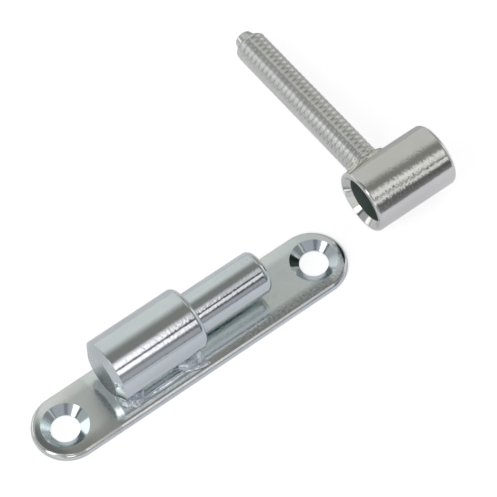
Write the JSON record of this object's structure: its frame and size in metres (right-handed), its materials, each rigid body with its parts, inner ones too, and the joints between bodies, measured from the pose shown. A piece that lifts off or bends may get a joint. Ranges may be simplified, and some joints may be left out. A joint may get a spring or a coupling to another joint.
{
  "type": "drill in hinge",
  "caption": "Lift-off hinge in two halves: a screw-on plate carrying a welded knuckle and pin, and a barrel with a threaded stud that drops over the pin.",
  "frame": {"origin": "middle of the mounting plate's back face", "axes": "+X along the hinge pin towards its free tip, +Z out of the plate's front, +Y across the plate towards the stud"},
  "size_m": [0.1106, 0.0635, 0.0174],
  "materials": {
    "plate_zinc": "bright zinc plate on a stamped steel plate",
    "stock_zinc": "bright zinc plate on turned steel",
    "pin_zinc": "bright zinc plate on a ground steel pin",
    "stud_zinc": "bright zinc plate on a rolled thread, slightly yellow"
  },
  "bodies": {
    "frame_half": {"mounting_plate": "plate_zinc", "knuckle": "stock_zinc"},
    "pin": {"hinge_pin": "pin_zinc"},
    "door_half": {"barrel": "stock_zinc", "threaded_stud": "stud_zinc"}
  },
  "joints": [
    {"name": "swing", "type": "hinge", "parent": "frame_half", "child": "pin", "pos_m": [0.0012, 0.0013, 0.0099], "axis": [1, 0, 0], "range_deg": [-2.7, 190.8]},
    {"name": "lift_off", "type": "slide", "parent": "pin", "child": "door_half", "axis": [1, 0, 0], "range_m": [-0.0464, 0]}
  ]
}
